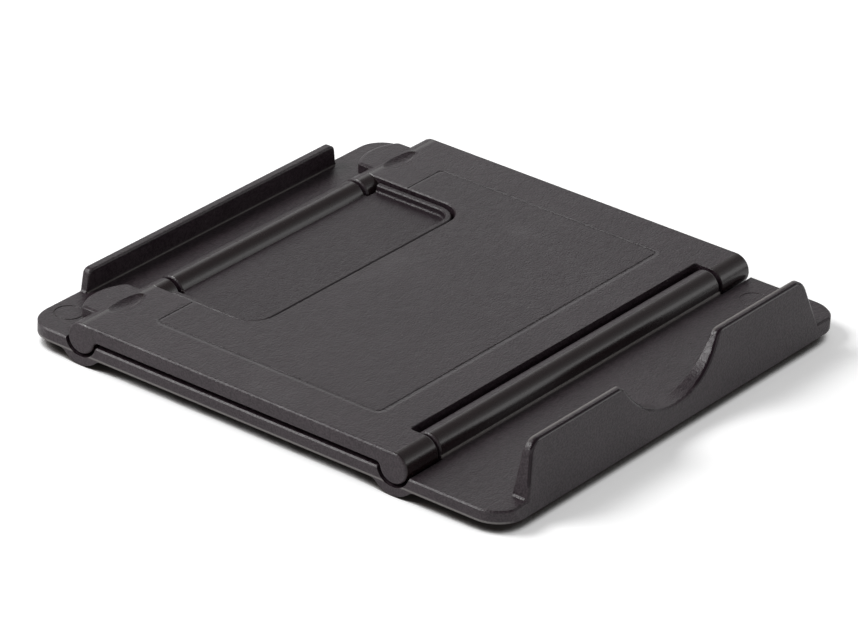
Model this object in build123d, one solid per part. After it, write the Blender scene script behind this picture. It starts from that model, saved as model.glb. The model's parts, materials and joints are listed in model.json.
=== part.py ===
"""Folding table stand: a base with a retaining lip, a hinged support plate and a swing-down strut.

X runs along the hinges, -Y is the front with the tall lip, +Z is up.
The origin is under the middle of the base, on the surface that the feet stand on.
"""
from build123d import *
import os
from math import radians, sqrt, tan

# Base plate
base_width = 150.0
base_depth = 158.0
base_thickness = 3.6
base_corner_radius = 8.6
edge_chamfer = 0.45

# Hinge lines
front_hinge_setback = 35.0
rear_hinge_setback = 19.6
axis_rise = 1.15
barrel_radius = 4.4
barrel_end_gap = 1.3
barrel_end_chamfer = 0.4
front_knuckle_length = 12.8
rear_barrel_length = 77.4
barrel_foot_height = 0.6
barrel_foot_width = 0.2

# Cradles that the knuckles sink into, seen as bulges under the base
cradle_clearance = 0.9
cradle_wall = 2.3
cradle_blend = 2.5

# Front lip with its half-moon notch
lip_height = 14.0
lip_foot_thickness = 5.9
lip_lean = 11.5
lip_end_inset = 11.0
lip_end_slant = 4.4
lip_corner_radius = 4.2
lip_edge_radius = 1.0
lip_inner_chamfer = 0.3
moon_radius = 24.0
moon_depth = 12.2
moon_shoulder_radius = 3.0
lip_root_bevel = 0.45

# Rear lip that stops the strut's foot
rear_lip_length = 105.4
rear_lip_height = 6.4
rear_lip_thickness = 2.6
rear_lip_end_slant = 1.0
rear_lip_corner_radius = 2.0
rear_lip_chamfer = 0.4

# Window in the base that the strut swings through
window_clearance = 1.4
window_rear_reach = 6.0
window_corner_radius = 6.0

# Support plate
support_thickness = 4.3
slot_clearance = 0.5
slot_corner_radius = 1.2
knuckle_blend = 1.5
notch_corner_radius = 8.0
notch_chamfer = 0.35
stub_length = 5.4
outline_side_setback = 14.5
outline_front_setback = 16.0
outline_rear_setback = 13.4
outline_corner_radius = 1.4
outline_groove_width = 0.4
outline_groove_depth = 0.15

# Finger tabs on the support plate's rear edge
tab_side_setback = 17.0
tab_width = 18.2
tab_reach = 9.3
tab_side_reach = 6.4
tab_corner_radius = 1.6
tab_drop = 0.2
tab_thickness = 3.1
tab_rim_width = 0.9
tab_rim_depth = 0.35
scoop_offset = -1.4
scoop_length = 14.0
scoop_depth = 1.0
scoop_section_radius = 4.5

# Strut tray
strut_length = 33.3
strut_gap = 1.0
strut_rim_drop = 0.8
strut_rim_height = 2.1
strut_rim_thickness = 1.8
strut_floor_thickness = 1.9
strut_floor_blend = 0.8
strut_rim_chamfer = 0.35
strut_stub_clearance = 0.8

# Hinge pins
pin_radius = 1.5
pin_seat_depth = 8.0
pin_reach = 8.0
pin_chamfer = 0.3
pin_running_clearance = 0.05
pin_end_clearance = 0.4

# Rubber feet and the moulded rings above two of them
foot_height = 3.15
foot_radius = 4.0
foot_seat_depth = 0.7
foot_seat_clearance = 0.1
foot_edge_chamfer = 0.6
foot_side_inset = 10.7
foot_front_inset = 21.6
foot_rear_inset = 6.3
ring_radius = 4.1
ring_width = 0.4
ring_depth = 0.15

# Cored undersides
skin_thickness = 2.2
frame_width = 4.0
rib_thickness = 2.0

# Levels and lines that follow from the sizes above
base_bottom = foot_height
base_top = base_bottom + base_thickness
axis_z = base_top + axis_rise
support_top = axis_z + barrel_radius
support_bottom = support_top - support_thickness
lip_top = base_top + lip_height
rear_lip_top = base_top + rear_lip_height
side = base_width / 2
front_edge = -base_depth / 2
rear_edge = base_depth / 2
front_axis = front_edge + front_hinge_setback
rear_axis = rear_edge - rear_hinge_setback
hinge_spacing = rear_axis - front_axis
cradle_inner = barrel_radius + cradle_clearance
cradle_outer = cradle_inner + cradle_wall
front_knuckle_face = side - front_knuckle_length
front_barrel_end = front_knuckle_face - barrel_end_gap
rear_barrel_end = rear_barrel_length / 2
rear_knuckle_face = rear_barrel_end + barrel_end_gap
notch_side = rear_knuckle_face + stub_length
notch_front = rear_axis - strut_length - strut_gap
strut_side = notch_side - strut_gap
strut_tip = rear_axis - strut_length
slot_edge = front_axis + barrel_radius + slot_clearance
window_side = strut_side + window_clearance
window_front = strut_tip - window_clearance
window_rear = rear_axis + window_rear_reach
outline_side = side - outline_side_setback
outline_front = front_axis + outline_front_setback
outline_rear = rear_axis - outline_rear_setback
tab_middle = side - tab_side_setback
cradle_foot = sqrt(cradle_outer**2 - (axis_z - base_bottom) ** 2)
foot_x = side - foot_side_inset
foot_front_y = front_edge + foot_front_inset
foot_rear_y = rear_edge - foot_rear_inset
tall = lip_top + base_width
tiny = 1e-4


def along_x(section, x_from, x_to):
    """Extrude a section drawn in Y and Z from one X to another."""
    return Pos(x_from, 0, 0) * extrude(Plane.YZ * section, x_to - x_from)


def along_y(view, y_from, y_to):
    """Extrude a view drawn in X and Z from one Y to another."""
    return Pos(0, y_to, 0) * extrude(Plane.XZ * view, y_to - y_from)


def rod(radius, y, x_from, x_to):
    """A cylinder on a hinge line at Y, from one X to another."""
    return along_x(Pos(y, axis_z) * Circle(radius), x_from, x_to)


def barrel(y, x_from, x_to):
    """A hinge barrel at Y from one X to another, with bevelled ends."""
    solid = rod(barrel_radius, y, x_from, x_to)
    return chamfer(solid.edges().filter_by(GeomType.CIRCLE), barrel_end_chamfer)


def block(x_from, x_to, y_from, y_to, z_from, z_to):
    """An upright block between limits."""
    plan = Rectangle(x_to - x_from, y_to - y_from)
    return Pos((x_from + x_to) / 2, (y_from + y_to) / 2, z_from) * extrude(plan, z_to - z_from)


def both_sides(solid):
    """The solid and its mirror image across the middle of the stand."""
    return [solid, mirror(solid, Plane.YZ)]


def pocket_row(x_from, x_to, y_from, y_to, count, z_from, z_to):
    """A row of equal pockets along X, parted by ribs."""
    cell = (x_to - x_from - rib_thickness * (count - 1)) / count
    row = []
    for index in range(count):
        left = x_from + index * (cell + rib_thickness)
        row.append(block(left, left + cell, y_from, y_to, z_from, z_to))
    return row


def pin_bores(half_length, y, depth, radius):
    """Blind bores into both ends of a barrel that is half_length long each way."""
    return both_sides(rod(radius, y, half_length - depth, half_length))


def edges_at(solid, level):
    """The edges of a solid that lie wholly at one height."""
    return solid.edges().filter_by(
        lambda edge: edge.bounding_box().min.Z > level - tiny and edge.bounding_box().max.Z < level + tiny)


def lip_view(foot_half, slant, top):
    """The view of a lip from the front: upright in the base, then with ends that slant inwards to its top."""
    return make_face(Polyline(
        (-foot_half, base_bottom),
        (-foot_half, base_top),
        (slant - foot_half, top),
        (foot_half - slant, top),
        (foot_half, base_top),
        (foot_half, base_bottom),
        close=True,
    ))


def root_bevels(foot_half, slope, y_from, y_to):
    """The small bevels that fill the corners between a lip's two ends and the base."""
    view = make_face(Polyline(
        (foot_half - lip_root_bevel, base_top),
        (foot_half - lip_root_bevel * slope, base_top + lip_root_bevel),
        (foot_half + lip_root_bevel, base_top),
        close=True,
    ))
    return both_sides(along_y(view, y_from, y_to))


def make_front_lip():
    """The leaning lip: its front view with the half-moon, cut to its tapered section, with soft upper edges."""
    slope = tan(radians(lip_lean))
    inner_face = front_edge + lip_foot_thickness
    section = make_face(Polyline(
        (front_edge, base_bottom),
        (front_edge + (lip_top - base_bottom) * slope, lip_top),
        (inner_face, lip_top),
        (inner_face, base_bottom),
        close=True,
    ))
    foot_half = side - lip_end_inset
    view = lip_view(foot_half, lip_end_slant, lip_top)
    view -= Pos(0, lip_top + moon_radius - moon_depth) * Circle(moon_radius)
    ends = view.vertices().filter_by(lambda v: abs(v.Y - lip_top) < tiny and abs(v.X) > moon_radius)
    view = fillet(ends, lip_corner_radius)
    shoulders = view.vertices().filter_by(lambda v: abs(v.Y - lip_top) < tiny and abs(v.X) < moon_radius)
    view = fillet(shoulders, moon_shoulder_radius)
    lip = along_x(section, -side, side) & along_y(view, front_edge, inner_face)
    outer = lip.edges().filter_by(lambda edge: edge.center().Z > base_top + lip_edge_radius and all(
        abs(v.Y - front_edge - (v.Z - base_bottom) * slope) < tiny for v in edge.vertices()))
    lip = fillet(outer, lip_edge_radius)
    inner = lip.edges().filter_by(lambda edge: edge.center().Z > base_top + lip_edge_radius and all(
        abs(v.Y - inner_face) < tiny for v in edge.vertices()))
    lip = chamfer(inner, lip_inner_chamfer)
    outer_face = front_edge + base_thickness * slope
    return lip + root_bevels(foot_half, lip_end_slant / lip_height, outer_face + lip_edge_radius,
                             inner_face - lip_inner_chamfer)


def make_base_plate():
    """The base: plate, bulged cradles, both lips and the front hinge barrel in one moulding."""
    section = Pos(0, (base_bottom + base_top) / 2) * Rectangle(base_depth, base_thickness)
    for axis_y in (front_axis, rear_axis):
        section += Pos(axis_y, axis_z) * Circle(cradle_outer)
    section -= Pos(0, base_top + tall / 2) * Rectangle(base_depth, tall)
    roots = section.vertices().filter_by(lambda v: abs(v.Y - base_bottom) < 1e-6 and abs(v.X) < rear_edge - 1)
    section = fillet(roots, cradle_blend)
    plan = extrude(RectangleRounded(base_width, base_depth, base_corner_radius), tall)
    base = along_x(section, -side, side) & plan
    lean_cut = make_face(Polyline(
        (front_edge - 1, base_bottom),
        (front_edge, base_bottom),
        (front_edge + base_thickness * tan(radians(lip_lean)), base_top),
        (front_edge - 1, base_top),
        close=True,
    ))
    base -= along_x(lean_cut, -side, side)
    base = chamfer(edges_at(base, base_top), edge_chamfer)
    base -= rod(cradle_inner, rear_axis, -side, side)
    base -= both_sides(rod(cradle_inner, front_axis, front_barrel_end, side))
    window = block(-window_side, window_side, window_front, window_rear, 0, tall)
    base -= fillet(window.edges().filter_by(Axis.Z), window_corner_radius)
    base += make_front_lip()
    base += make_rear_lip()
    base += barrel(front_axis, -front_barrel_end, front_barrel_end)
    foot_front = front_axis - barrel_radius - barrel_foot_width
    base += block(-front_barrel_end, front_barrel_end, foot_front, front_axis, base_bottom,
                  base_top + barrel_foot_height)
    base -= pin_bores(front_barrel_end, front_axis, pin_seat_depth, pin_radius)
    return base - base_cores() - foot_details()


def make_rear_lip():
    """The low rear lip with rounded upper corners and a softened top."""
    foot_half = rear_lip_length / 2
    view = fillet(lip_view(foot_half, rear_lip_end_slant, rear_lip_top).vertices().group_by(Axis.Y)[-1],
                  rear_lip_corner_radius)
    inner_face = rear_edge - rear_lip_thickness
    lip = along_y(view, inner_face, rear_edge)
    rim = lip.edges().filter_by(Axis.Y, reverse=True).filter_by(lambda edge: edge.center().Z > base_top)
    lip = chamfer(rim, rear_lip_chamfer)
    slope = rear_lip_end_slant / rear_lip_height
    return lip + root_bevels(foot_half, slope, inner_face + rear_lip_chamfer, rear_edge - edge_chamfer)


def base_cores():
    """Pockets under the base, between its frame, cradles, foot seats and ribs."""
    depth_top = base_top - skin_thickness
    clear = cradle_foot + cradle_blend
    lip_root = front_edge + lip_foot_thickness + rib_thickness
    seat_side = foot_x - foot_radius - frame_width
    middle = (front_axis + clear + window_front - frame_width) / 2
    inside = side - frame_width
    cores = pocket_row(-seat_side, seat_side, lip_root, front_axis - clear, 4, 0, depth_top)
    cores += pocket_row(-inside, inside, front_axis + clear, middle - rib_thickness / 2, 5, 0, depth_top)
    cores += pocket_row(-inside, inside, middle + rib_thickness / 2, window_front - frame_width, 5, 0, depth_top)
    beside = block(window_side + frame_width, inside, window_front, rear_axis - clear, 0, depth_top)
    return cores + both_sides(beside)


def foot_places():
    """Names and places of the four feet."""
    return {
        "foot_front_left": (-foot_x, foot_front_y),
        "foot_front_right": (foot_x, foot_front_y),
        "foot_rear_left": (-foot_x, foot_rear_y),
        "foot_rear_right": (foot_x, foot_rear_y),
    }


def foot_details():
    """Seats for the feet below the base, and the fine rings on its upper face."""
    seat = extrude(Circle(foot_radius + foot_seat_clearance), foot_seat_depth)
    cuts = [Pos(x, y, base_bottom) * seat for x, y in foot_places().values()]
    ring = extrude(Circle(ring_radius) - Circle(ring_radius - ring_width), ring_depth)
    for x, y in ((-foot_x, foot_rear_y), (foot_x, foot_front_y)):
        cuts.append(Pos(x, y, base_top - ring_depth) * ring)
    return cuts


def make_support_plate():
    """The upper plate with round knuckles, the strut's notch and two finger tabs."""
    section = Pos((front_axis + rear_axis) / 2, (support_bottom + support_top) / 2) * Rectangle(
        hinge_spacing, support_thickness)
    for axis_y in (front_axis, rear_axis):
        section += Pos(axis_y, axis_z) * Circle(barrel_radius)
    roots = section.vertices().filter_by(
        lambda v: abs(v.Y - support_bottom) < 1e-6 and front_axis + 1 < v.X < rear_axis - 1)
    section = fillet(roots, knuckle_blend)
    plate = along_x(section, -side, side)
    plate = chamfer(plate.faces().filter_by(Axis.X).edges(), edge_chamfer)
    slot = block(-front_knuckle_face, front_knuckle_face, front_axis - base_depth, slot_edge, 0, tall)
    slot = fillet(slot.edges().filter_by(Axis.Z).group_by(Axis.Y)[-1], slot_corner_radius)
    plate -= slot
    notch = block(-notch_side, notch_side, notch_front, rear_axis + base_depth, 0, tall)
    notch = fillet(notch.edges().filter_by(Axis.Z).group_by(Axis.Y)[0], notch_corner_radius)
    plate -= notch
    rim = edges_at(plate, support_top).filter_by(
        lambda edge: abs(edge.center().X) < notch_side + tiny and edge.center().Y > notch_front - tiny)
    plate = chamfer(rim.filter_by(lambda edge: edge.center().Y < rear_axis - tiny), notch_chamfer)
    plate += both_sides(barrel(rear_axis, rear_knuckle_face, notch_side + edge_chamfer))
    plate += both_sides(make_tab())
    plate -= both_sides(make_scoop())
    plate -= outline_groove()
    reach = pin_reach + pin_end_clearance
    bore = pin_radius + pin_running_clearance
    plate -= both_sides(rod(bore, front_axis, front_knuckle_face, front_knuckle_face + reach))
    plate -= both_sides(rod(bore, rear_axis, rear_knuckle_face, rear_knuckle_face + reach))
    return plate - support_cores()


def make_tab():
    """One finger tab: straight sides and a bowed outer edge, softened all round."""
    half = tab_width / 2
    left = tab_middle - half
    right = tab_middle + half
    shoulder = rear_axis + tab_side_reach
    outline = Polyline((left, shoulder), (left, rear_axis), (right, rear_axis), (right, shoulder))
    outline += ThreePointArc((right, shoulder), (tab_middle, rear_axis + tab_reach), (left, shoulder))
    plan = make_face(outline)
    plan = fillet(plan.vertices().group_by(Axis.Y)[-1], tab_corner_radius)
    top = support_top - tab_drop
    tab = Pos(0, 0, top - tab_thickness) * extrude(plan, tab_thickness)
    rim = tab.edges().filter_by(lambda edge: abs(edge.center().Z - top) < 1e-6
                                and edge.center().Y > rear_axis + 1e-3)
    return chamfer(rim, tab_rim_width, tab_rim_depth, reference=tab.faces().sort_by(Axis.Z)[-1])


def make_scoop():
    """The wheel that hollows a shallow thumb groove along a tab's root."""
    wheel = ((scoop_length / 2) ** 2 + scoop_depth**2) / (2 * scoop_depth)
    ring = Torus(wheel - scoop_section_radius, scoop_section_radius)
    return Pos(tab_middle, rear_axis + scoop_offset, support_top + wheel - scoop_depth) * Rot(90, 0, 0) * ring


def outline_groove():
    """The fine rounded outline that runs round the upper face."""
    depth = outline_rear - outline_front
    width = 2 * outline_side
    trim = 2 * outline_groove_width
    outer = RectangleRounded(width, depth, outline_corner_radius)
    inner = RectangleRounded(width - trim, depth - trim, outline_corner_radius - outline_groove_width)
    ring = extrude(outer - inner, outline_groove_depth)
    return Pos(0, (outline_front + outline_rear) / 2, support_top - outline_groove_depth) * ring


def support_cores():
    """Pockets under the support plate, inside the outline on its upper face."""
    depth_top = support_top - skin_thickness
    inside = outline_side - outline_groove_width
    notch_frame = notch_front - frame_width
    middle = (outline_front + notch_frame) / 2
    cores = pocket_row(-inside, inside, outline_front, middle - rib_thickness / 2, 4, 0, depth_top)
    cores += pocket_row(-inside, inside, middle + rib_thickness / 2, notch_frame, 4, 0, depth_top)
    beside = block(notch_side + frame_width, inside, notch_front, outline_rear, 0, depth_top)
    return cores + both_sides(beside)


def make_strut():
    """The swing-down strut: a rimmed tray on the rear hinge barrel."""
    rim_top = support_top - strut_rim_drop
    floor_top = rim_top - strut_rim_height
    bottom = floor_top - strut_floor_thickness
    neck = rear_axis - barrel_radius - strut_stub_clearance
    corner = notch_corner_radius - strut_gap
    tray = block(-strut_side, strut_side, strut_tip, neck, bottom, rim_top)
    tray = fillet(tray.edges().filter_by(Axis.Z).group_by(Axis.Y)[0], corner)
    inner = strut_side - strut_rim_thickness
    hollow = block(-inner, inner, strut_tip + strut_rim_thickness, rear_axis, floor_top, tall)
    hollow = fillet(hollow.edges().filter_by(Axis.Z).group_by(Axis.Y)[0], corner - strut_rim_thickness)
    tray -= fillet(edges_at(hollow, floor_top).filter_by(lambda edge: edge.center().Y < rear_axis - tiny),
                   strut_floor_blend)
    tray = chamfer(edges_at(tray, rim_top).filter_by(lambda edge: edge.center().Y < neck - tiny), strut_rim_chamfer)
    tray += block(-rear_barrel_end, rear_barrel_end, neck, rear_axis, bottom, floor_top)
    tray += barrel(rear_axis, -rear_barrel_end, rear_barrel_end)
    return tray - pin_bores(rear_barrel_end, rear_axis, pin_seat_depth, pin_radius)


def make_pin(half_length, y):
    """A steel pin pressed into the right end of a barrel and reaching into the knuckle beside it."""
    pin = rod(pin_radius, y, half_length - pin_seat_depth, half_length + barrel_end_gap + pin_reach)
    return chamfer(pin.edges().filter_by(GeomType.CIRCLE), pin_chamfer)


def make_foot(x, y):
    """A round rubber foot, its upper end seated in the base."""
    foot = extrude(Circle(foot_radius), foot_height + foot_seat_depth)
    return Pos(x, y) * chamfer(foot.edges().group_by(Axis.Z)[0], foot_edge_chamfer)


def main():
    """Build every piece and write one file for each."""
    pieces = {
        "base_plate": make_base_plate(),
        "support_plate": make_support_plate(),
        "strut": make_strut(),
    }
    for hinge, half_length, y in (
        ("front", front_barrel_end, front_axis),
        ("rear", rear_barrel_end, rear_axis),
    ):
        right, left = both_sides(make_pin(half_length, y))
        pieces[f"{hinge}_hinge_pin_left"] = left
        pieces[f"{hinge}_hinge_pin_right"] = right
    for name, (x, y) in foot_places().items():
        pieces[name] = make_foot(x, y)
    os.makedirs("parts", exist_ok=True)
    for name, piece in pieces.items():
        export_step(piece, f"parts/{name}.step")


main()
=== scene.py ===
import json
import logging
import math
from dataclasses import dataclass, field
from enum import Enum

import bpy
import numpy as np
from mathutils import Matrix, Vector


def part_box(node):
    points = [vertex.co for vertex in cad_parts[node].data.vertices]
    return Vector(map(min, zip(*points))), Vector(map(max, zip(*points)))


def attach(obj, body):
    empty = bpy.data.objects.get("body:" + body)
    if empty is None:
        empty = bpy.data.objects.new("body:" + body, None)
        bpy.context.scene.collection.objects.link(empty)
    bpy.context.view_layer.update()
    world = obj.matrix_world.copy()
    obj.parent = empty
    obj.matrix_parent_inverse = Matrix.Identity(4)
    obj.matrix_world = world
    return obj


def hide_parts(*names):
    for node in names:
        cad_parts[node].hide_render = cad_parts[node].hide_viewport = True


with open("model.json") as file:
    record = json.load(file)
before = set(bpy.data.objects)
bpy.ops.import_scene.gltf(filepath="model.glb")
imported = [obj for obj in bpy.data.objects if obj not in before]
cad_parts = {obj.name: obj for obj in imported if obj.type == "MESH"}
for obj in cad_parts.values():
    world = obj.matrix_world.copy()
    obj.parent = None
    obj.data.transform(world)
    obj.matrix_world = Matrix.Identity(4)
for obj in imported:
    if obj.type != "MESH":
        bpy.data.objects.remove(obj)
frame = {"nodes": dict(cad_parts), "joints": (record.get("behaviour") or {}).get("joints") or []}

LOG = logging.getLogger("album_stand")
MM = 0.001
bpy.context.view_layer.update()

Link = bpy.types.NodeSocket
Value = Link | float | tuple[float, ...]


class Slot(Enum):
    """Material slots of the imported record."""

    PLASTIC = "plastic"
    STEEL = "steel"
    RUBBER = "rubber"


class Body(Enum):
    """Bodies that the pieces ride on."""

    BASE = "base"
    SUPPORT = "support"
    STRUT = "strut"


class Sketch:
    """A node tree with short calls for placing and joining nodes."""

    number_mix = (0, 2, 3)
    colour_mix = (0, 6, 7)
    colour_result = 2

    def __init__(self, tree: bpy.types.NodeTree) -> None:
        """Keep the tree that the calls draw in."""
        self.tree = tree

    def node(self, kind: str, **inputs: Value) -> bpy.types.Node:
        """Place a node.

        Args:
            kind: Blender's name for the node, without its ShaderNode prefix.
            inputs: Links or values by socket name, with _ for a space.

        Returns:
            The new node.
        """
        placed = self.tree.nodes.new("ShaderNode" + kind)
        for name, value in inputs.items():
            self.feed(placed.inputs[name.replace("_", " ")], value)
        return placed

    def feed(self, socket: Link, value: Value) -> None:
        """Join a link to a socket, or set the socket's own value."""
        if isinstance(value, bpy.types.NodeSocket):
            self.tree.links.new(value, socket)
        else:
            socket.default_value = value

    def maths(self, operation: str, *terms: Value) -> Link:
        """One step of arithmetic on numbers.

        Args:
            operation: Blender's name for the step.
            terms: Links or numbers, in order.

        Returns:
            The result's socket.
        """
        placed = self.tree.nodes.new("ShaderNodeMath")
        placed.operation = operation
        for socket, term in zip(placed.inputs, terms):
            self.feed(socket, term)
        return placed.outputs[0]

    def vector(self, operation: str, *terms: Value) -> bpy.types.Node:
        """One step of vector arithmetic; the node is returned because its output varies."""
        placed = self.tree.nodes.new("ShaderNodeVectorMath")
        placed.operation = operation
        for socket, term in zip(placed.inputs, terms):
            self.feed(socket, term)
        return placed

    def ramp(self, value: Value, low: Value, high: Value, start: Value = 0.0, end: Value = 1.0) -> Link:
        """A smooth step of a value.

        Args:
            value: What is read.
            low: Where the step begins.
            high: Where the step is over.
            start: The result before the step.
            end: The result after the step.

        Returns:
            The stepped value's socket.
        """
        placed = self.tree.nodes.new("ShaderNodeMapRange")
        placed.interpolation_type = "SMOOTHSTEP"
        for socket, term in zip(placed.inputs, (value, low, high, start, end)):
            self.feed(socket, term)
        return placed.outputs[0]

    def blend(self, share: Value, first: Value, second: Value) -> Link:
        """A colour between two, by a share from 0 to 1."""
        placed = self.tree.nodes.new("ShaderNodeMix")
        placed.data_type = "RGBA"
        for index, term in zip(self.colour_mix, (share, first, second)):
            self.feed(placed.inputs[index], term)
        return placed.outputs[self.colour_result]

    def between(self, share: Value, first: Value, second: Value) -> Link:
        """A number between two, by a share from 0 to 1."""
        placed = self.tree.nodes.new("ShaderNodeMix")
        for index, term in zip(self.number_mix, (share, first, second)):
            self.feed(placed.inputs[index], term)
        return placed.outputs[0]

    def noise(self, place: Value, scale: Value, detail: float = 2.0, roughness: float = 0.5) -> Link:
        """Smooth noise about 0.5, at a number of cells per metre."""
        placed = self.node("TexNoise", Vector=place, Scale=scale, Detail=detail, Roughness=roughness)
        return placed.outputs[0]

    def axes(self, place: Link) -> tuple[Link, Link, Link]:
        """The X, Y and Z of a vector."""
        parted = self.node("SeparateXYZ", Vector=place)
        return parted.outputs[0], parted.outputs[1], parted.outputs[2]


class EffectGroup:
    """A shader node group that several materials place with their own values."""

    name = "effect"
    inputs: dict[str, tuple[str, float]] = {}
    outputs: dict[str, str] = {}

    def __init__(self) -> None:
        """Make the group with its sockets and draw what it does."""
        self.tree = bpy.data.node_groups.new(self.name, "ShaderNodeTree")
        for label, (kind, value) in self.inputs.items():
            socket = self.tree.interface.new_socket(label, in_out="INPUT", socket_type="NodeSocket" + kind)
            if kind == "Float":
                socket.default_value = value
        for label, kind in self.outputs.items():
            self.tree.interface.new_socket(label, in_out="OUTPUT", socket_type="NodeSocket" + kind)
        start = self.tree.nodes.new("NodeGroupInput")
        end = self.tree.nodes.new("NodeGroupOutput")
        sketch = Sketch(self.tree)
        for label, link in self.draw(sketch, start.outputs).items():
            sketch.feed(end.inputs[label], link)

    def draw(self, sketch: Sketch, given: bpy.types.NodeOutputs) -> dict[str, Link]:
        """Place the group's nodes and return its outputs by name."""
        raise NotImplementedError

    def place(self, sketch: Sketch, **inputs: Value) -> bpy.types.NodeOutputs:
        """Place the group in a material.

        Args:
            sketch: The material's tree.
            inputs: Links or values by socket name, with _ for a space.

        Returns:
            The placed group's outputs.
        """
        placed = sketch.tree.nodes.new("ShaderNodeGroup")
        placed.node_tree = self.tree
        for name, value in inputs.items():
            sketch.feed(placed.inputs[name.replace("_", " ")], value)
        return placed.outputs


class MouldedGrain(EffectGroup):
    """Fine spark-eroded grain: two sizes of noise, drawn out along X."""

    name = "moulded_grain"
    inputs = {"Vector": ("Vector", 0.0), "Cells": ("Float", 3000.0), "Stretch": ("Float", 3.0)}
    outputs = {"Height": "Float", "Fleck": "Float", "Tone": "Float"}
    coarse_cells = 0.27
    coarse_height = 0.6
    cloud_cells = 55.0
    cloud_share = 0.7
    fleck_step = (0.38, 0.62)

    def draw(self, sketch: Sketch, given: bpy.types.NodeOutputs) -> dict[str, Link]:
        """Height is the fine grain with some of the coarse, Fleck its contrast, Tone a slow cloud."""
        squeeze = sketch.node("CombineXYZ", X=sketch.maths("DIVIDE", 1.0, given["Stretch"]), Y=1.0, Z=1.0)
        place = sketch.vector("MULTIPLY", given["Vector"], squeeze.outputs[0]).outputs[0]
        fine = sketch.noise(place, given["Cells"], detail=1.0)
        coarse = sketch.noise(place, sketch.maths("MULTIPLY", given["Cells"], self.coarse_cells), detail=2.0)
        cloud = sketch.noise(given["Vector"], self.cloud_cells, detail=3.0)
        height = sketch.maths("MULTIPLY_ADD", coarse, self.coarse_height, fine)
        rest = sketch.maths("MULTIPLY", coarse, 1.0 - self.cloud_share)
        tone = sketch.maths("MULTIPLY_ADD", cloud, self.cloud_share, rest)
        return {"Height": height, "Fleck": sketch.ramp(fine, *self.fleck_step), "Tone": tone}


class SoftEdge(EffectGroup):
    """Rounded shading over edges, and a mask of where they are."""

    name = "soft_edge"
    inputs = {"Radius": ("Float", 0.0003)}
    outputs = {"Normal": "Vector", "Mask": "Float"}
    samples = 8
    level_step = (1.0, 0.82)

    def draw(self, sketch: Sketch, given: bpy.types.NodeOutputs) -> dict[str, Link]:
        """The mask grows with the angle between the rounded and the plain normal."""
        rounded = sketch.node("Bevel", Radius=given["Radius"])
        rounded.samples = self.samples
        plain = sketch.node("NewGeometry").outputs["Normal"]
        level = sketch.vector("DOT_PRODUCT", rounded.outputs[0], plain).outputs["Value"]
        mask = sketch.ramp(level, *self.level_step)
        return {"Normal": rounded.outputs[0], "Mask": mask}


class HingeBand(EffectGroup):
    """A mask of the polished front halves of the hinge barrels, up to the mould's seam along their tops."""

    name = "hinge_band"
    inputs = {
        "Vector": ("Vector", 0.0),
        "Front": ("Float", 0.0),
        "Rear": ("Float", 0.0),
        "Height": ("Float", 0.0),
        "Radius": ("Float", 0.0),
        "Fade": ("Float", 0.0),
    }
    outputs = {"Mask": "Float"}

    def draw(self, sketch: Sketch, given: bpy.types.NodeOutputs) -> dict[str, Link]:
        """The distance from a hinge line, the root of the squares across it, is near the barrels' radius."""
        _, y, z = sketch.axes(given["Vector"])
        rise = sketch.maths("SUBTRACT", z, given["Height"])
        bands = []
        for line in ("Front", "Rear"):
            across = sketch.maths("SUBTRACT", y, given[line])
            square = sketch.maths("MULTIPLY_ADD", across, across, sketch.maths("MULTIPLY", rise, rise))
            gap = sketch.maths("SUBTRACT", sketch.maths("SQRT", square), given["Radius"])
            shell = sketch.ramp(sketch.maths("ABSOLUTE", gap), given["Fade"], 0.0)
            bands.append(sketch.maths("MULTIPLY", shell, sketch.ramp(across, given["Fade"], 0.0)))
        return {"Mask": sketch.maths("MAXIMUM", *bands)}


class EjectorMarks(EffectGroup):
    """Faint round marks that the mould's ejector pins leave on the underside."""

    name = "ejector_marks"
    inputs = {"Vector": ("Vector", 0.0), "Pitch": ("Float", 0.02), "Radius": ("Float", 0.0015)}
    outputs = {"Height": "Float"}
    flat_share = 0.9
    facing_down = (-0.9, -0.99)

    def draw(self, sketch: Sketch, given: bpy.types.NodeOutputs) -> dict[str, Link]:
        """Each cell of a square grid has a disc at its middle; only faces that look down have it."""
        x, y, _ = sketch.axes(given["Vector"])
        across = sketch.maths("PINGPONG", x, given["Pitch"])
        along = sketch.maths("PINGPONG", y, given["Pitch"])
        flat = sketch.node("CombineXYZ", X=across, Y=along).outputs[0]
        reach = sketch.vector("LENGTH", flat).outputs["Value"]
        disc = sketch.ramp(reach, given["Radius"], sketch.maths("MULTIPLY", given["Radius"], self.flat_share))
        _, _, up = sketch.axes(sketch.node("NewGeometry").outputs["Normal"])
        return {"Height": sketch.maths("MULTIPLY", disc, sketch.ramp(up, *self.facing_down))}


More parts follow.
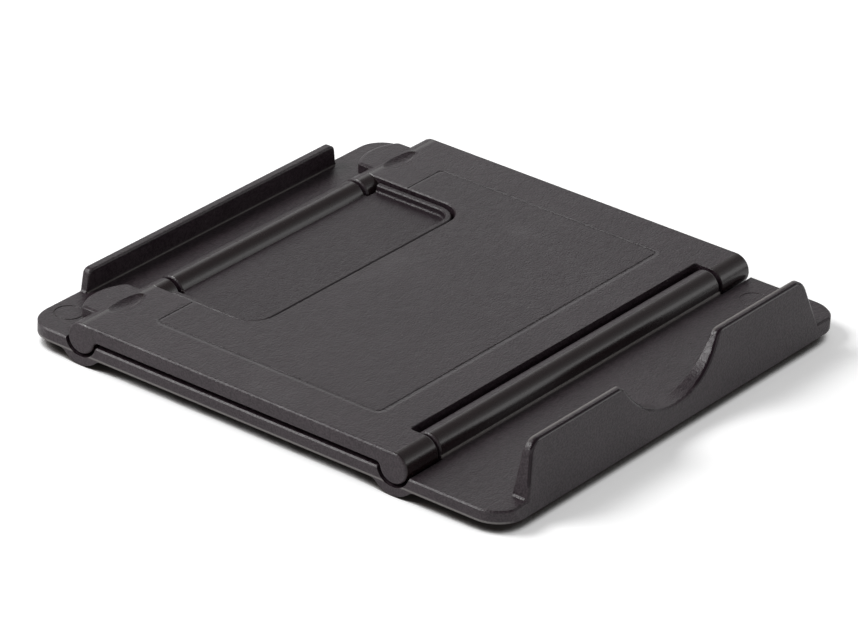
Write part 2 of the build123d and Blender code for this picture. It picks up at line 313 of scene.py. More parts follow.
class OutlineGroove(EffectGroup):
    """A soft shallow groove along a rounded rectangle on faces that look up, and a mask of its inside."""

    name = "outline_groove"
    inputs = {
        "Vector": ("Vector", 0.0),
        "Half X": ("Float", 0.0),
        "Half Y": ("Float", 0.0),
        "Middle Y": ("Float", 0.0),
        "Corner": ("Float", 0.0),
        "Width": ("Float", 0.001),
    }
    outputs = {"Depth": "Float", "Inside": "Float"}
    facing_up = (0.9, 0.99)

    def draw(self, sketch: Sketch, given: bpy.types.NodeOutputs) -> dict[str, Link]:
        """The distance to the outline is that to a smaller box, less the corner radius.

        Outside the small box it is the length of what sticks out; inside it is the nearer side.
        """
        x, y, _ = sketch.axes(given["Vector"])
        off_y = sketch.maths("SUBTRACT", y, given["Middle Y"])
        over = []
        for place, half in ((x, given["Half X"]), (off_y, given["Half Y"])):
            reach = sketch.maths("SUBTRACT", half, given["Corner"])
            over.append(sketch.maths("SUBTRACT", sketch.maths("ABSOLUTE", place), reach))
        out = [sketch.maths("MAXIMUM", part, 0.0) for part in over]
        flat = sketch.node("CombineXYZ", X=out[0], Y=out[1]).outputs[0]
        length = sketch.vector("LENGTH", flat).outputs["Value"]
        inner = sketch.maths("MINIMUM", sketch.maths("MAXIMUM", *over), 0.0)
        gap = sketch.maths("SUBTRACT", sketch.maths("ADD", length, inner), given["Corner"])
        half_width = sketch.maths("MULTIPLY", given["Width"], 0.5)
        dip = sketch.ramp(sketch.maths("ABSOLUTE", gap), half_width, 0.0)
        _, _, up = sketch.axes(sketch.node("NewGeometry").outputs["True Normal"])
        level = sketch.ramp(up, *self.facing_up)
        inside = sketch.ramp(gap, 0.0, sketch.maths("MULTIPLY", half_width, -1.0))
        return {
            "Depth": sketch.maths("MULTIPLY", dip, level),
            "Inside": sketch.maths("MULTIPLY", inside, level),
        }


class LowerEdgeHighlight(EffectGroup):
    """A mask of a fine painted highlight line on a plate's ends, which look along X."""

    name = "parting_line"
    inputs = {"Vector": ("Vector", 0.0), "Height": ("Float", 0.0), "Width": ("Float", 0.0)}
    outputs = {"Mask": "Float"}
    facing_along = (0.3, 0.7)

    def draw(self, sketch: Sketch, given: bpy.types.NodeOutputs) -> dict[str, Link]:
        """The line is where the height above the floor is within half a width of the given height."""
        _, _, z = sketch.axes(given["Vector"])
        gap = sketch.maths("ABSOLUTE", sketch.maths("SUBTRACT", z, given["Height"]))
        line = sketch.ramp(gap, sketch.maths("MULTIPLY", given["Width"], 0.5), 0.0)
        sideways, _, _ = sketch.axes(sketch.node("NewGeometry").outputs["True Normal"])
        ends = sketch.ramp(sketch.maths("ABSOLUTE", sideways), *self.facing_along)
        return {"Mask": sketch.maths("MULTIPLY", line, ends)}


class HighlightLine(EffectGroup):
    """A mask of a line that runs along X, of a given half length, at a given Y and Z, where a corner gets a
    painted highlight.
    """

    name = "worn_line"
    inputs = {
        "Vector": ("Vector", 0.0),
        "Y": ("Float", 0.0),
        "Z": ("Float", 0.0),
        "Half": ("Float", 0.0),
        "Reach": ("Float", 0.0),
    }
    outputs = {"Mask": "Float"}

    def draw(self, sketch: Sketch, given: bpy.types.NodeOutputs) -> dict[str, Link]:
        """The mask falls off with the distance from the line, the root of the squares across it."""
        x, y, z = sketch.axes(given["Vector"])
        across = sketch.maths("SUBTRACT", y, given["Y"])
        rise = sketch.maths("SUBTRACT", z, given["Z"])
        flat = sketch.node("CombineXYZ", X=across, Y=rise).outputs[0]
        length = sketch.vector("LENGTH", flat).outputs["Value"]
        along = sketch.maths("LESS_THAN", sketch.maths("ABSOLUTE", x), given["Half"])
        return {"Mask": sketch.maths("MULTIPLY", along, sketch.ramp(length, given["Reach"], 0.0))}


class HandlingDust(EffectGroup):
    """Sparse pale specks and a few soft rub marks."""

    name = "handling_dust"
    inputs = {"Vector": ("Vector", 0.0)}
    outputs = {"Specks": "Float", "Rubs": "Float"}
    speck_cells = 260.0
    speck_core = (0.075, 0.03)
    speck_pick = (0.80, 0.86)
    rub_cells = 38.0
    rub_step = (0.55, 0.8)

    def draw(self, sketch: Sketch, given: bpy.types.NodeOutputs) -> dict[str, Link]:
        """Specks are the cores of a few cells of a fine cell pattern; rubs are the tops of a slow noise."""
        cells = sketch.node("TexVoronoi", Vector=given["Vector"], Scale=self.speck_cells)
        core = sketch.ramp(cells.outputs["Distance"], *self.speck_core)
        pick, _, _ = sketch.axes(cells.outputs["Color"])
        specks = sketch.maths("MULTIPLY", core, sketch.ramp(pick, *self.speck_pick))
        cloud = sketch.noise(given["Vector"], self.rub_cells, detail=4.0, roughness=0.6)
        rubs = sketch.ramp(cloud, *self.rub_step)
        return {"Specks": specks, "Rubs": rubs}


@dataclass
class Effects:
    """The shared node groups."""

    grain: MouldedGrain = field(default_factory=MouldedGrain)
    edge: SoftEdge = field(default_factory=SoftEdge)
    hinge: HingeBand = field(default_factory=HingeBand)
    marks: EjectorMarks = field(default_factory=EjectorMarks)
    outline: OutlineGroove = field(default_factory=OutlineGroove)
    lower_edge_highlight: LowerEdgeHighlight = field(default_factory=LowerEdgeHighlight)
    worn_line: HighlightLine = field(default_factory=HighlightLine)
    dust: HandlingDust = field(default_factory=HandlingDust)


@dataclass(frozen=True)
class HingeLines:
    """Where the two hinge lines run along X, and the barrels' radius, in metres."""

    front: float
    rear: float
    height: float
    radius: float

    @classmethod
    def from_frame(cls) -> "HingeLines":
        """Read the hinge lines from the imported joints, and the barrels' radius from the strut's box.

        Returns:
            The hinge lines.
        """
        _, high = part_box("strut")
        places = {joint["name"]: joint["pos_m"] for joint in frame["joints"]}
        _, front, height = places["support_tilt"]
        _, rear, _ = places["strut_swing"]
        return cls(front, rear, height, high.z - height)


def new_material(name: str) -> tuple[bpy.types.Material, Sketch, bpy.types.Node]:
    """Make an empty node material.

    Args:
        name: The finish's name.

    Returns:
        The material, its sketch and its Principled shader.
    """
    material = bpy.data.materials.new(name)
    material.use_nodes = True
    material.node_tree.nodes.clear()
    sketch = Sketch(material.node_tree)
    shader = sketch.node("BsdfPrincipled")
    end = sketch.node("OutputMaterial")
    sketch.feed(end.inputs["Surface"], shader.outputs[0])
    return material, sketch, shader


@dataclass(frozen=True)
class Outline:
    """The fine groove round the middle of the support plate, whose inside is a little darker, in metres."""

    half_x: float = 60.85 * MM
    front: float = -28.3 * MM
    rear: float = 46.0 * MM
    corner: float = 2.4 * MM
    width: float = 2.2 * MM
    depth: float = 0.085 * MM
    shade: float = 0.25
    groove_shade: float = 0.6
    roughness: float = 0.34
    edge_step: float = 0.1
    sheen_step: float = 0.3

    def place(self, effects: Effects, sketch: Sketch, place: Link) -> bpy.types.NodeOutputs:
        """Place the groove's group.

        Args:
            effects: The shared node groups.
            sketch: The material's tree.
            place: Object coordinates.

        Returns:
            The group's outputs.
        """
        return effects.outline.place(
            sketch, Vector=place, Half_X=self.half_x, Half_Y=(self.rear - self.front) / 2.0,
            Middle_Y=(self.rear + self.front) / 2.0, Corner=self.corner, Width=self.width)


@dataclass(frozen=True)
class HandledEdgeHighlights:
    """Edges near the middle of a plate, lightened partly by finger rubbing and partly as a painted highlight,
    in metres.
    """

    reach: float = 50.0 * MM
    fade: float = 2.0 * MM
    radius: float = 0.13 * MM
    roughness: float = 0.30
    wear_highlight: float = 0.75
    # lighter edge colour: partly rubbing, partly a painted highlight on edges near the middle
    colour: tuple[float, float, float] = (0.190, 0.178, 0.165)

    def mask(self, sketch: Sketch, place: Link) -> Link:
        """A mask of the points that are within the reach of the middle along X.

        Args:
            sketch: The material's tree.
            place: Object coordinates.

        Returns:
            The mask's socket.
        """
        x, _, _ = sketch.axes(place)
        return sketch.ramp(sketch.maths("ABSOLUTE", x), self.reach + self.fade, self.reach)


@dataclass(frozen=True)
class LipEdges:
    """The lips' rounder top edges, painted highlight lines on them and at the barrel's foot, and a painted
    dark line on the front lip's outer round, in metres.
    """

    low: float = 9.0 * MM
    high: float = 11.0 * MM
    radius: float = 0.65 * MM
    foot_gap: float = 0.2 * MM
    foot_height: float = 7.15 * MM
    foot_half: float = 60.9 * MM
    foot_reach: float = 0.6 * MM
    crest_place: float = -73.5 * MM
    crest_height: float = 20.7 * MM
    crest_half: float = 64.0 * MM
    crest_reach: float = 0.9 * MM
    crest_highlight: float = 0.75
    root_place: float = 76.4 * MM
    root_height: float = 6.9 * MM
    root_half: float = 52.6 * MM
    root_reach: float = 0.45 * MM
    root_highlight: float = 0.6
    # colour of the painted highlight lines
    rubbed_sheen: tuple[float, float, float] = (0.23, 0.215, 0.205)
    # the outer round is made smoother and coloured dark, a painted shade
    round_place: float = -73.0 * MM
    round_roughness: float = 0.12
    round_end: tuple[float, float] = (-0.12, -0.30)
    face_end: tuple[float, float] = (-0.95, -0.86)

    def outer_round(self, sketch: Sketch, place: Link) -> Link:
        """A mask of the round between the front lip's outer face and its top, ends and half-moon; the
        material colours it dark as painted shade.

        The outer face looks along -Y and the others have no Y in their normals; the round lies between.

        Args:
            sketch: The material's tree.
            place: Object coordinates.

        Returns:
            The mask's socket.
        """
        _, y, _ = sketch.axes(place)
        _, ahead, _ = sketch.axes(sketch.node("NewGeometry").outputs["Normal"])
        past_sides = sketch.ramp(ahead, *self.round_end)
        before_face = sketch.ramp(ahead, *self.face_end)
        turned = sketch.maths("MULTIPLY", past_sides, before_face)
        outside = sketch.maths("LESS_THAN", y, self.round_place)
        return sketch.maths("MULTIPLY", sketch.maths("MULTIPLY", turned, outside), self.mask(sketch, place))

    def highlight_lines(self, effects: Effects, sketch: Sketch, place: Link, lines: HingeLines) -> Link:
        """A mask of the painted highlight lines at the barrel's foot, the front lip's crest and the rear
        lip's root.

        Args:
            effects: The shared node groups.
            sketch: The material's tree.
            place: Object coordinates.
            lines: Where the hinge barrels are.

        Returns:
            The mask's socket.
        """
        foot_place = lines.front - lines.radius - self.foot_gap
        foot = effects.worn_line.place(
            sketch, Vector=place, Y=foot_place, Z=self.foot_height, Half=self.foot_half,
            Reach=self.foot_reach)
        crest = effects.worn_line.place(
            sketch, Vector=place, Y=self.crest_place, Z=self.crest_height, Half=self.crest_half,
            Reach=self.crest_reach)
        root = effects.worn_line.place(
            sketch, Vector=place, Y=self.root_place, Z=self.root_height, Half=self.root_half,
            Reach=self.root_reach)
        share = sketch.maths("MULTIPLY_ADD", crest["Mask"], self.crest_highlight, foot["Mask"])
        return sketch.maths("MULTIPLY_ADD", root["Mask"], self.root_highlight, share)

    def mask(self, sketch: Sketch, place: Link) -> Link:
        """A mask of the points that are higher than the base's floor.

        Args:
            sketch: The material's tree.
            place: Object coordinates.

        Returns:
            The mask's socket.
        """
        _, _, z = sketch.axes(place)
        return sketch.ramp(z, self.low, self.high)


@dataclass(frozen=True)
class MouldedPlastic:
    """Charcoal moulded plastic: matte grained plates, smoother barrels, and edges lightened partly by rubbing
    and partly as a painted highlight.
    """

    name: str
    colour: tuple[float, float, float] = (0.0075, 0.0018, 0.0050)
    pale: tuple[float, float, float] = (0.0340, 0.0230, 0.0285)
    polished: tuple[float, float, float] = (0.0135, 0.0072, 0.0080)
    # lighter edge colour: partly rubbing, partly a painted highlight on the edges
    rubbed_sheen: tuple[float, float, float] = (0.085, 0.077, 0.073)
    # colour of dust specks and of the painted highlight line at the foot of the sides
    speck_and_highlight: tuple[float, float, float] = (0.16, 0.15, 0.145)
    plate_roughness: float = 0.44
    barrel_roughness: float = 0.27
    barrel_grain: float = 0.08
    grain_cells: float = 1500.0
    grain_stretch: float = 1.6
    grain_depth: float = 0.115 * MM
    edge_radius: float = 0.16 * MM
    edge_roughness: float = 0.30
    edge_wear_highlight: float = 0.55
    handled_highlight: HandledEdgeHighlights | None = None
    lips: LipEdges | None = None
    # a painted highlight line along the foot of the sides
    lower_edge_height: float = 0.0
    lower_edge_width: float = 0.9 * MM
    lower_edge_share: float = 0.9
    mark_depth: float = 0.05 * MM
    mark_pitch: float = 19.0 * MM
    mark_radius: float = 1.6 * MM
    band_fade: float = 0.25 * MM
    cloud_step: tuple[float, float] = (0.35, 0.65)
    cloud_share: float = 0.2
    speck_share: float = 0.5
    grain_middle: float = 0.8
    grain_sheen: float = 0.20
    rub_sheen: float = 0.05
    outline: Outline | None = None

    def material(self, effects: Effects, lines: HingeLines) -> bpy.types.Material:
        """Build the finish.

        Args:
            effects: The shared node groups.
            lines: Where the hinge barrels are.

        Returns:
            The material.
        """
        made, sketch, shader = new_material(self.name)
        place = sketch.node("TexCoord").outputs["Object"]
        grain = effects.grain.place(sketch, Vector=place, Cells=self.grain_cells, Stretch=self.grain_stretch)
        outline = self.outline.place(effects, sketch, place) if self.outline else None
        radius, wear_highlight, worn_highlight, shine = self.edge_radius, self.edge_wear_highlight, (*self.rubbed_sheen, 1.0), self.edge_roughness
        # edges near the middle: lighter colour, partly rubbing and partly a painted highlight
        if self.handled_highlight:
            near = self.handled_highlight.mask(sketch, place)
            radius = sketch.between(near, radius, self.handled_highlight.radius)
            wear_highlight = sketch.between(near, wear_highlight, self.handled_highlight.wear_highlight)
            worn_highlight = sketch.blend(near, worn_highlight, (*self.handled_highlight.colour, 1.0))
            shine = sketch.between(near, shine, self.handled_highlight.roughness)
        if self.lips:
            radius = sketch.between(self.lips.mask(sketch, place), radius, self.lips.radius)
        if outline:
            radius = sketch.between(sketch.ramp(outline["Depth"], 0.0, self.outline.edge_step), radius, 0.0)
        edge = effects.edge.place(sketch, Radius=radius)
        band = effects.hinge.place(
            sketch, Vector=place, Front=lines.front, Rear=lines.rear, Height=lines.height,
            Radius=lines.radius, Fade=self.band_fade)["Mask"]
        marks = effects.marks.place(sketch, Vector=place, Pitch=self.mark_pitch, Radius=self.mark_radius)
        dust = effects.dust.place(sketch, Vector=place)

        cloud = sketch.ramp(grain["Tone"], *self.cloud_step)
        fleck = sketch.maths("MULTIPLY", grain["Fleck"], 1.0 - self.cloud_share)
        tone = sketch.maths("MULTIPLY_ADD", cloud, self.cloud_share, fleck)
        if outline:
            shade = sketch.maths("MULTIPLY_ADD", outline["Inside"], -self.outline.shade, 1.0)
            shade = sketch.maths("MULTIPLY_ADD", outline["Depth"], -self.outline.groove_shade, shade)
            tone = sketch.maths("MULTIPLY", tone, shade)
        colour = sketch.blend(tone, (*self.colour, 1.0), (*self.pale, 1.0))
        colour = sketch.blend(band, colour, (*self.polished, 1.0))
        # edges lightened: partly rubbing, partly a painted highlight
        colour = sketch.blend(sketch.maths("MULTIPLY", edge["Mask"], wear_highlight), colour, worn_highlight)
        # painted highlight line along the foot of the sides
        if self.lower_edge_height:
            lower_edge_highlight = effects.lower_edge_highlight.place(sketch, Vector=place, Height=self.lower_edge_height,
                                            Width=self.lower_edge_width)["Mask"]
            share = sketch.maths("MULTIPLY", lower_edge_highlight, self.lower_edge_share)
            colour = sketch.blend(share, colour, (*self.speck_and_highlight, 1.0))
        share = sketch.maths("MULTIPLY", dust["Specks"], self.speck_share)
        colour = sketch.blend(share, colour, (*self.speck_and_highlight, 1.0))
        if self.lips:
            # painted highlight lines at the barrel's foot, the front lip's crest and the rear lip's root
            share = self.lips.highlight_lines(effects, sketch, place, lines)
            colour = sketch.blend(share, colour, (*self.lips.rubbed_sheen, 1.0))
            # painted shade: the front lip's outer round is coloured dark, and it is also made smoother
            polished = self.lips.outer_round(sketch, place)
            colour = sketch.blend(polished, colour, (*self.colour, 1.0))
        sketch.feed(shader.inputs["Base Color"], colour)

        sheen = sketch.between(band, self.plate_roughness, self.barrel_roughness)
        if outline:
            groove = sketch.ramp(outline["Depth"], 0.0, self.outline.sheen_step)
            sheen = sketch.between(groove, sheen, self.outline.roughness)
        calm = sketch.between(band, 1.0, self.barrel_grain)
        if self.lips:
            calm = sketch.between(polished, calm, self.barrel_grain)
        ripple = sketch.maths("MULTIPLY", sketch.maths("SUBTRACT", grain["Height"], self.grain_middle), calm)
        uneven = sketch.maths("MULTIPLY_ADD", ripple, self.grain_sheen, sheen)
        rubbed_sheen = sketch.maths("MULTIPLY_ADD", dust["Rubs"], -self.rub_sheen, uneven)
        sheen = sketch.between(edge["Mask"], rubbed_sheen, shine)
        if self.lips:
            sheen = sketch.between(polished, sheen, self.lips.round_roughness)
        sketch.feed(shader.inputs["Roughness"], sheen)

        relief = sketch.maths("MULTIPLY", ripple, self.grain_depth)
        relief = sketch.maths("MULTIPLY_ADD", marks["Height"], -self.mark_depth, relief)
        if outline:
            relief = sketch.maths("MULTIPLY_ADD", outline["Depth"], -self.outline.depth, relief)
        bump = sketch.node("Bump", Height=relief, Normal=edge["Normal"], Distance=1.0, Strength=1.0)
        sketch.feed(shader.inputs["Normal"], bump.outputs[0])
        return made


@dataclass(frozen=True)
class GroundSteel:
    """Ground pin stock: bright steel with fine rings round the pin and a trace of oil."""

    name: str = "ground_steel"
    colour: tuple[float, float, float] = (0.56, 0.56, 0.57)
    oiled: tuple[float, float, float] = (0.36, 0.345, 0.32)
    ring_cells: float = 9000.0
    ring_stretch: tuple[float, float, float] = (1.0, 0.02, 0.02)
    ring_depth: float = 0.002 * MM
    ring_sheen: float = 0.2
    roughness: float = 0.16
    oil_cells: float = 320.0
    oil_step: tuple[float, float] = (0.45, 0.7)
    edge_radius: float = 0.12 * MM

    def material(self, effects: Effects) -> bpy.types.Material:
        """Build the finish.

        Args:
            effects: The shared node groups.

        Returns:
            The material.
        """
        made, sketch, shader = new_material(self.name)
        shader.inputs["Metallic"].default_value = 1.0
        place = sketch.node("TexCoord").outputs["Object"]
        drawn = sketch.vector("MULTIPLY", place, self.ring_stretch).outputs[0]
        rings = sketch.noise(drawn, self.ring_cells, detail=3.0)
        oil = sketch.ramp(sketch.noise(place, self.oil_cells, detail=3.0), *self.oil_step)
        sketch.feed(shader.inputs["Base Color"], sketch.blend(oil, (*self.colour, 1.0), (*self.oiled, 1.0)))
        sheen = sketch.maths("MULTIPLY_ADD", rings, self.ring_sheen, self.roughness)
        sketch.feed(shader.inputs["Roughness"], sheen)
        edge = effects.edge.place(sketch, Radius=self.edge_radius)
        relief = sketch.maths("MULTIPLY", rings, self.ring_depth)
        bump = sketch.node("Bump", Height=relief, Normal=edge["Normal"], Distance=1.0, Strength=1.0)
        sketch.feed(shader.inputs["Normal"], bump.outputs[0])
        return made


@dataclass(frozen=True)
class SoftRubber:
    """Matte black rubber with a pebbled skin that has picked up dust."""

    name: str = "soft_rubber"
    colour: tuple[float, float, float] = (0.012, 0.012, 0.0125)
    dusty: tuple[float, float, float] = (0.045, 0.043, 0.040)
    dust_step: tuple[float, float] = (0.4, 0.7)
    dust_share: float = 0.45
    grain_cells: float = 1900.0
    grain_depth: float = 0.03 * MM
    grain_sheen: float = 0.12
    roughness: float = 0.66

    def material(self, effects: Effects) -> bpy.types.Material:
        """Build the finish.

        Args:
            effects: The shared node groups.

        Returns:
            The material.
        """
        made, sketch, shader = new_material(self.name)
        place = sketch.node("TexCoord").outputs["Object"]
        grain = effects.grain.place(sketch, Vector=place, Cells=self.grain_cells, Stretch=1.0)
        dust = effects.dust.place(sketch, Vector=place)
        cloud = sketch.ramp(grain["Tone"], *self.dust_step)
        share = sketch.maths("MULTIPLY_ADD", cloud, self.dust_share, dust["Specks"])
        sketch.feed(shader.inputs["Base Color"], sketch.blend(share, (*self.colour, 1.0), (*self.dusty, 1.0)))
        sheen = sketch.maths("MULTIPLY_ADD", grain["Height"], self.grain_sheen, self.roughness)
        sketch.feed(shader.inputs["Roughness"], sheen)
        relief = sketch.maths("MULTIPLY", grain["Height"], self.grain_depth)
        bump = sketch.node("Bump", Height=relief, Distance=1.0, Strength=1.0)
        sketch.feed(shader.inputs["Normal"], bump.outputs[0])
        return made


def dress(node: str, material: bpy.types.Material, slot: Slot, body: Body) -> None:
    """Give a CAD node a finish.

    Args:
        node: The node's name.
        material: Its finish.
        slot: Its material slot in the record.
        body: The body that it rides on.
    """
    piece = frame["nodes"][node]
    piece.data.materials.clear()
    piece.data.materials.append(material)
    LOG.info("dressed %s of %s, %s, in %s", node, body.value, slot.value, material.name)


def turned_mesh(
    name: str, radii: np.ndarray, heights: np.ndarray, centre: Vector, turns: int
) -> bpy.types.Object:
    """A profile carried round an upright axis.

    A point is the centre plus the radius times the cosine and sine of the turn, at the profile's height.
    The profile starts and ends on the axis, and each end is one shared vertex.

    Args:
        name: The piece's name.
        radii: The profile's radii, first and last zero.
        heights: The profile's heights, as many as the radii, going down.
        centre: Where the axis meets the profile's zero height.
        turns: Points round the axis.

    Returns:
        The new object, at the origin.
    """
    angles = np.linspace(0.0, 2.0 * math.pi, turns, endpoint=False)
    ring_radii = radii[1:-1, None]
    x = centre.x + ring_radii * np.cos(angles)
    y = centre.y + ring_radii * np.sin(angles)
    z = centre.z + np.broadcast_to(heights[1:-1, None], x.shape)
    rings = np.stack((x, y, z), axis=-1).reshape(-1, 3)
    poles = np.array([[centre.x, centre.y, centre.z + height] for height in (heights[0], heights[-1])])
    points = np.concatenate((rings, poles))
    index = np.arange(rings.shape[0]).reshape(-1, turns)
    after = np.roll(index, -1, axis=1)
    walls = np.stack((index[:-1], index[1:], after[1:], after[:-1]), axis=-1).reshape(-1, 4)
    top = np.stack((np.full(turns, rings.shape[0]), index[0], after[0]), axis=-1)
    bottom = np.stack((np.full(turns, rings.shape[0] + 1), after[-1], index[-1]), axis=-1)
    mesh = bpy.data.meshes.new(name)
    mesh.from_pydata(points.tolist(), [], walls.tolist() + top.tolist() + bottom.tolist())
    mesh.shade_smooth()
    piece = bpy.data.objects.new(name, mesh)
    bpy.context.scene.collection.objects.link(piece)
    return piece


@dataclass
class BasePlate:
    """The base moulding with its lips, cradles and front barrel."""

    lines: HingeLines
    grain_cells: float = 2300.0
    lower_edge_height: float = 3.5 * MM
    lips: LipEdges = LipEdges()

    def dress(self, effects: Effects) -> None:
        """Finish the base, which has a painted highlight line at the foot of its sides."""
        finish = MouldedPlastic(
            "base_plastic", grain_cells=self.grain_cells, lower_edge_height=self.lower_edge_height, lips=self.lips)
        dress("base_plate", finish.material(effects, self.lines), Slot.PLASTIC, Body.BASE)


@dataclass
class SupportPlate:
    """The hinged upper plate."""

    lines: HingeLines
    grain_cells: float = 2300.0
    grain_stretch: float = 1.7
    grain_depth: float = 0.13 * MM
    edge_radius: float = 0.50 * MM
    edge_roughness: float = 0.34
    edge_wear_highlight: float = 0.10
    handled_highlight: HandledEdgeHighlights = HandledEdgeHighlights()
    outline: Outline = Outline()

    def dress(self, effects: Effects) -> None:
        """Finish the support plate, whose grain is drawn out along the hinges."""
        finish = MouldedPlastic(
            "support_plastic", grain_cells=self.grain_cells, grain_stretch=self.grain_stretch,
            grain_depth=self.grain_depth, edge_radius=self.edge_radius, edge_roughness=self.edge_roughness,
            edge_wear_highlight=self.edge_wear_highlight, handled_highlight=self.handled_highlight, outline=self.outline)
        dress("support_plate", finish.material(effects, self.lines), Slot.PLASTIC, Body.SUPPORT)


@dataclass
class Strut:
    """The swing-down tray with the rear barrel."""

    lines: HingeLines
    grain_cells: float = 2300.0
    grain_stretch: float = 1.4
    grain_depth: float = 0.17 * MM
    pale: tuple[float, float, float] = (0.0150, 0.0065, 0.0110)
    handled_highlight: HandledEdgeHighlights = HandledEdgeHighlights(wear_highlight=0.6)

    def dress(self, effects: Effects) -> None:
        """Finish the strut, which is a little darker than the plates."""
        finish = MouldedPlastic(
            "strut_plastic", pale=self.pale, grain_cells=self.grain_cells, grain_stretch=self.grain_stretch,
            grain_depth=self.grain_depth, handled_highlight=self.handled_highlight)
        dress("strut", finish.material(effects, self.lines), Slot.PLASTIC, Body.STRUT)


@dataclass
class HingePins:
    """The four steel pins inside the barrels."""

    nodes: tuple[tuple[str, Body], ...] = (
        ("front_hinge_pin_left", Body.BASE),
        ("front_hinge_pin_right", Body.BASE),
        ("rear_hinge_pin_left", Body.STRUT),
        ("rear_hinge_pin_right", Body.STRUT),
    )

    def dress(self, effects: Effects) -> None:
        """Finish the pins with one shared steel."""
        steel = GroundSteel().material(effects)
        for node, body in self.nodes:
            dress(node, steel, Slot.STEEL, body)


@dataclass
class RubberFeet:
    """Four turned feet with a rounded tread edge and a dished tread, in place of the plain discs."""

    nodes: tuple[str, ...] = ("foot_front_left", "foot_front_right", "foot_rear_left", "foot_rear_right")
    edge_radius: float = 0.7 * MM
    dish_depth: float = 0.35 * MM
    dish_share: float = 0.68
    ridge_height: float = 0.12 * MM
    ridge_count: int = 3
    turns: int = 56
    shoulder: float = 0.3 * MM
    waist_share: float = 0.5
    edge_points: int = 7
    dish_points: int = 25

    def profile(self, radius: float, height: float) -> tuple[np.ndarray, np.ndarray]:
        """A foot's half section from the middle of its top, down its side and back to the middle.

        The side is straight, the tread edge is a quarter circle, and the dish is a raised cosine with
        a few concentric ridges as a sine of the radius.

        Args:
            radius: The foot's radius.
            height: The foot's height.

        Returns:
            The radii and the heights above the floor.
        """
        bend = np.linspace(0.0, math.pi / 2.0, self.edge_points)
        edge_r = radius - self.edge_radius + self.edge_radius * np.cos(bend)
        edge_z = self.edge_radius - self.edge_radius * np.sin(bend)
        dish_radius = radius * self.dish_share
        dish_r = np.linspace(dish_radius, 0.0, self.dish_points)
        share = dish_r / dish_radius
        dish_z = self.dish_depth * (0.5 + 0.5 * np.cos(math.pi * share))
        dish_z += self.ridge_height * np.sin(math.pi * self.ridge_count * share) ** 2 * (1.0 - share)
        shoulder_r = np.array([0.0, radius - self.shoulder, radius, radius])
        shoulder_z = np.array([height, height, height - self.shoulder, self.waist_share * height])
        return np.concatenate((shoulder_r, edge_r, dish_r)), np.concatenate((shoulder_z, edge_z, dish_z))

    def build(self) -> list[bpy.types.Object]:
        """Turn one foot for each CAD foot.

        Returns:
            The new pieces.
        """
        made = []
        for node in self.nodes:
            low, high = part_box(node)
            radii, heights = self.profile((high.x - low.x) / 2.0, high.z - low.z)
            centre = Vector(((low.x + high.x) / 2.0, (low.y + high.y) / 2.0, low.z))
            piece = turned_mesh(f"turned_{node}", radii, heights, centre, self.turns)
            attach(piece, Body.BASE.value)
            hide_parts(node)
            made.append(piece)
            LOG.info("turned %s", piece.name)
        return made

    def dress(self, pieces: list[bpy.types.Object], effects: Effects) -> None:
        """Finish the feet with one shared rubber."""
        rubber = SoftRubber().material(effects)
        for piece in pieces:
            piece.data.materials.append(rubber)


@dataclass(frozen=True)
class Softbox:
    """A square studio light that faces a point."""

    name: str
    heading: tuple[float, float, float]
    distance: float
    size: float
    radiance: float
    colour: tuple[float, float, float] = (1.0, 1.0, 1.0)

    def build(self, target: Vector) -> None:
        """Hang the light so that its face has the given radiance.

        Args:
            target: What the light faces.
        """
        lamp = bpy.data.lights.new(self.name, "AREA")
        lamp.shape = "SQUARE"
        lamp.size = self.size
        lamp.energy = self.radiance * math.pi * self.size**2
        lamp.color = self.colour
        holder = bpy.data.objects.new(self.name, lamp)
        bpy.context.scene.collection.objects.link(holder)
        way = Vector(self.heading).normalized()
        holder.location = target + way * self.distance
        holder.rotation_euler = way.to_track_quat("Z", "Y").to_euler()


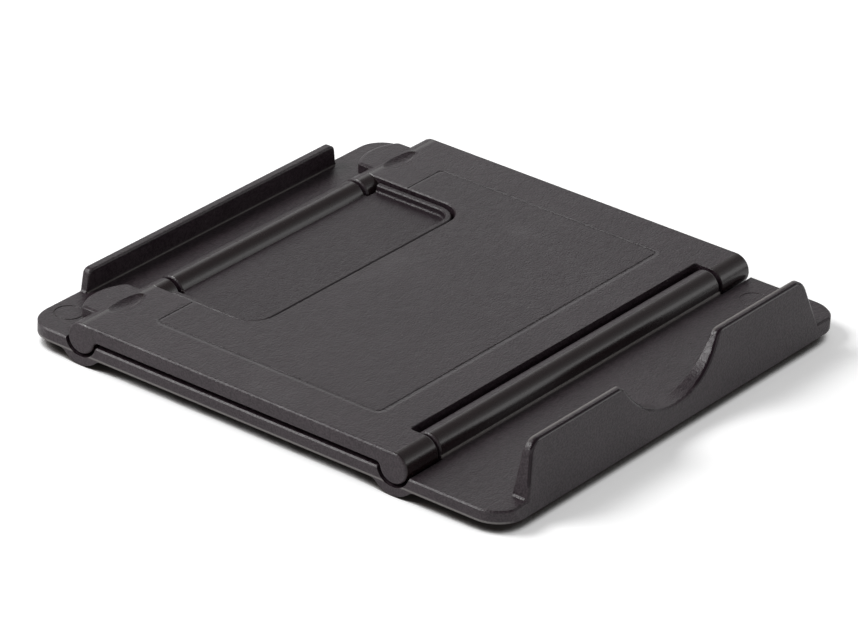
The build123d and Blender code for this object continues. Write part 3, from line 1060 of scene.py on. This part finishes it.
@dataclass
class Studio:
    """A white floor in a pale room under a dim ceiling, with a back key, a back panel and a front fill."""

    target: tuple[float, float, float] = (0.0, 0.0, 10.0 * MM)
    lamps: tuple[Softbox, ...] = (
        Softbox("key_light", heading=(-0.46, 0.53, 0.71), distance=2.0, size=0.78, radiance=16.0),
        Softbox("fill_light", heading=(0.712, -0.65, 0.28), distance=2.0, size=0.66, radiance=1.35),
        Softbox("back_panel", heading=(0.69, 0.68, 0.46), distance=0.9, size=0.46, radiance=0.68),
    )
    floor_reach: float = 4.0
    floor_colour: tuple[float, float, float] = (0.91, 0.91, 0.91)
    # colour of the floor's painted shadow where the object is close
    contact_shadow_colour: tuple[float, float, float] = (0.10, 0.09, 0.085)
    contact_shadow_reach: float = 8.0 * MM
    contact_shadow_step: tuple[float, float] = (0.34, 0.50)
    floor_lift: float = 0.34
    mirrored_share: float = 0.35
    shadow_reach: float = 20.0 * MM
    shadow_step: tuple[float, float] = (0.28, 0.60)
    horizon: float = 0.40
    sweep: float = 0.98
    ceiling: float = 0.22
    sweep_foot: float = 0.48
    sweep_top: float = 0.47
    ceiling_foot: float = 0.68

    def build(self) -> None:
        """Lay the floor, light the room and hang the lamps."""
        self.lay_floor()
        self.light_room()
        for lamp in self.lamps:
            lamp.build(Vector(self.target))

    def lay_floor(self) -> None:
        """A pale floor with some light of its own, seen directly and in reflections, faded out near the
        object as a painted shadow; its colour is also darkened where the object is close, a second painted
        shadow.
        """
        reach = self.floor_reach
        mesh = bpy.data.meshes.new("floor")
        corners = [(-reach, -reach, 0), (reach, -reach, 0), (reach, reach, 0), (-reach, reach, 0)]
        mesh.from_pydata(corners, [], [(0, 1, 2, 3)])
        floor = bpy.data.objects.new("floor", mesh)
        bpy.context.scene.collection.objects.link(floor)
        material = bpy.data.materials.new("white_sweep")
        material.use_nodes = True
        material.node_tree.nodes.clear()
        sketch = Sketch(material.node_tree)
        # painted shadow: the floor's colour darkens where the object is close
        near = sketch.node("AmbientOcclusion", Distance=self.contact_shadow_reach)
        contact_shadow = sketch.ramp(near.outputs["AO"], *self.contact_shadow_step)
        paint = sketch.blend(contact_shadow, (*self.contact_shadow_colour, 1.0), (*self.floor_colour, 1.0))
        matte = sketch.node("BsdfDiffuse", Color=paint)
        path = sketch.node("LightPath")
        mirrored = sketch.maths("MAXIMUM", path.outputs["Is Glossy Ray"], path.outputs["Is Transmission Ray"])
        mirrored = sketch.maths("MULTIPLY", mirrored, self.mirrored_share)
        seen = sketch.maths("MAXIMUM", path.outputs["Is Camera Ray"], mirrored)
        # the floor's own glow fades out near the object, leaving a painted shadow
        clear = sketch.node("AmbientOcclusion", Distance=self.shadow_reach)
        open_floor = sketch.ramp(clear.outputs["AO"], *self.shadow_step)
        lift = sketch.maths("MULTIPLY", open_floor, self.floor_lift)
        glow = sketch.node("Emission", Strength=sketch.maths("MULTIPLY", seen, lift))
        both = sketch.node("AddShader")
        sketch.feed(both.inputs[0], matte.outputs[0])
        sketch.feed(both.inputs[1], glow.outputs[0])
        end = sketch.node("OutputMaterial")
        sketch.feed(end.inputs["Surface"], both.outputs[0])
        mesh.materials.append(material)

    def light_room(self) -> None:
        """A world with a pale band above a dimmer horizon and under a dim ceiling."""
        world = bpy.data.worlds.new("studio_room")
        bpy.context.scene.world = world
        world.use_nodes = True
        world.node_tree.nodes.clear()
        sketch = Sketch(world.node_tree)
        _, _, up = sketch.axes(sketch.node("TexCoord").outputs["Generated"])
        wall = sketch.ramp(up, 0.0, self.sweep_foot, self.horizon, self.sweep)
        level = sketch.between(sketch.ramp(up, self.sweep_top, self.ceiling_foot), wall, self.ceiling)
        glow = sketch.node("Background", Strength=level)
        end = sketch.node("OutputWorld")
        sketch.feed(end.inputs["Surface"], glow.outputs[0])


@dataclass
class StudioCamera:
    """The long-lens camera at the front left corner, in metres and degrees; its sensor is in millimetres."""

    aim: tuple[float, float, float] = (-1.0575 * MM, 1.9398 * MM, 8.0 * MM)
    bearing: float = 216.6283
    elevation: float = 27.4503
    roll: float = 2.6441
    distance: float = 1.45299
    focal_pixels: float = 5500.49
    picture_pixels: float = 858.0
    sensor: float = 36.0
    nearest: float = 0.01
    furthest: float = 50.0

    def build(self) -> None:
        """Set up the camera: its back axis points from the aim to the camera, and it leans by the roll."""
        around, lift, lean = (math.radians(angle) for angle in (self.bearing, self.elevation, self.roll))
        back = Vector((math.cos(lift) * math.cos(around), math.cos(lift) * math.sin(around), math.sin(lift)))
        level = Vector((-math.sin(around), math.cos(around), 0.0))
        upright = back.cross(level)
        right = level * math.cos(lean) + upright * math.sin(lean)
        top = upright * math.cos(lean) - level * math.sin(lean)
        lens = bpy.data.cameras.new("studio_camera")
        lens.sensor_width = self.sensor
        lens.lens = self.focal_pixels / self.picture_pixels * self.sensor
        lens.clip_start = self.nearest
        lens.clip_end = self.furthest
        holder = bpy.data.objects.new("studio_camera", lens)
        bpy.context.scene.collection.objects.link(holder)
        turn = Matrix((right, top, back)).transposed().to_4x4()
        holder.matrix_world = Matrix.Translation(Vector(self.aim) + back * self.distance) @ turn
        bpy.context.scene.camera = holder


def main() -> None:
    """Dress the stand, set up the studio and report each piece."""
    logging.basicConfig(level=logging.INFO, format="%(name)s: %(message)s")
    bpy.context.scene.view_settings.view_transform = "Standard"
    effects = Effects()
    lines = HingeLines.from_frame()
    for part in (BasePlate(lines), SupportPlate(lines), Strut(lines), HingePins()):
        part.dress(effects)
    feet = RubberFeet()
    feet.dress(feet.build(), effects)
    Studio().build()
    StudioCamera().build()


if __name__ == "__main__":
    main()
